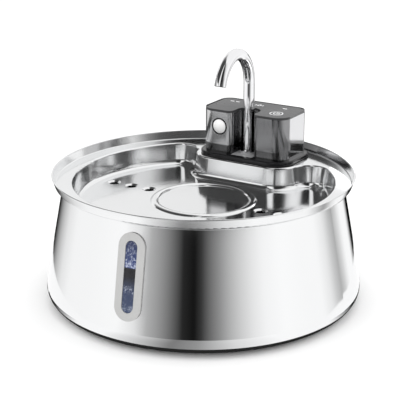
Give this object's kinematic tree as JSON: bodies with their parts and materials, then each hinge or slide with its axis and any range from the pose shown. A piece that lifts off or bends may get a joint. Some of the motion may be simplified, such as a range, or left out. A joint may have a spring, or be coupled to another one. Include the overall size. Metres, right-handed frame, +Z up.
{
  "type": "pet water fountain",
  "caption": "Round steel pet water fountain: bowl with a water window, lift-off drinking tray, and a battery unit with a gooseneck faucet and a pump below.",
  "frame": {"origin": "on the ground, under the middle of the round bowl", "axes": "+Z up, -Y towards the water window and the side that the faucet pours to, +Y towards the battery unit"},
  "size_m": [0.2646, 0.2646, 0.203],
  "materials": {
    "bowl_steel": "bright satin stainless steel",
    "tray_steel": "mirror polished stainless steel",
    "foot_silicone": "matt silicone",
    "window_frame": "glossy light grey plastic",
    "window_lens": "clear blue plastic",
    "white_silicone": "matt white silicone",
    "black_rubber": "matt black rubber",
    "screw_steel": "plain stainless steel",
    "black_gloss": "piano black plastic",
    "cover_grey": "glossy dark grey plastic",
    "dome_white": "milky white plastic",
    "sensor_can": "plated metal can on a small board",
    "circuit_board": "green solder mask",
    "battery_can": "shrink sleeved metal can",
    "black_plastic": "fine textured black plastic",
    "socket_steel": "plated steel",
    "faucet_chrome": "polished",
    "contact_brass": "gold plated",
    "impeller_plastic": "moulded",
    "magnet_ferrite": "sintered ferrite",
    "shaft_steel": "ground",
    "box_plastic": "translucent grey plastic",
    "carbon_cloth": "carbon filled fleece",
    "foam_cloth": "open cell foam"
  },
  "bodies": {
    "bowl": {"reservoir_bowl": "bowl_steel", "foot_pads": "foot_silicone", "window_bezel": "window_frame", "window_lens": "window_lens", "window_seal": "white_silicone", "window_clamp": "window_frame", "window_screws": "screw_steel"},
    "tray": {"drinking_tray": "tray_steel"},
    "unit": {"unit_base": "black_gloss", "base_gasket": "black_rubber", "housing_shell": "black_gloss", "top_cover": "cover_grey", "base_screws": "screw_steel", "sensor_dome": "dome_white", "motion_sensor": "sensor_can", "touch_board": "circuit_board", "control_board": "circuit_board", "battery_cell": "battery_can", "battery_saddles": "black_plastic", "usb_socket": "socket_steel", "faucet_seals": "black_rubber", "outlet_hose": "white_silicone", "pump_body": "black_plastic", "pump_cover": "black_plastic", "pump_contacts": "contact_brass", "stem_seal": "black_rubber", "impeller_shaft": "shaft_steel", "shaft_bushes": "black_rubber"},
    "faucet": {"faucet_tube": "faucet_chrome"},
    "rotor": {"impeller": "impeller_plastic", "rotor_magnet": "magnet_ferrite"},
    "filter_box": {"filter_box": "box_plastic", "carbon_filter": "carbon_cloth", "foam_filter": "foam_cloth"},
    "usb_flap": {"usb_cover": "black_rubber"}
  },
  "joints": [
    {"name": "tray_lift", "type": "slide", "parent": "bowl", "child": "tray", "axis": [0, 0, 1], "range_m": [0, 0.08]},
    {"name": "unit_lift", "type": "slide", "parent": "tray", "child": "unit", "axis": [0, 0, 1], "range_m": [0, 0.07]},
    {"name": "faucet_swivel", "type": "hinge", "parent": "unit", "child": "faucet", "pos_m": [0, 0.07552, 0.12], "axis": [0, 0, 1], "continuous": true},
    {"name": "impeller_spin", "type": "hinge", "parent": "unit", "child": "rotor", "pos_m": [0, 0.09117, 0.07], "axis": [0, 0, 1], "continuous": true},
    {"name": "filter_box_drop", "type": "slide", "parent": "unit", "child": "filter_box", "axis": [0, 0, -1], "range_m": [0, 0.035]},
    {"name": "usb_flap_hinge", "type": "hinge", "parent": "unit", "child": "usb_flap", "pos_m": [0, 0.10852, 0.1346], "axis": [1, 0, 0], "range_deg": [0, 150]}
  ]
}
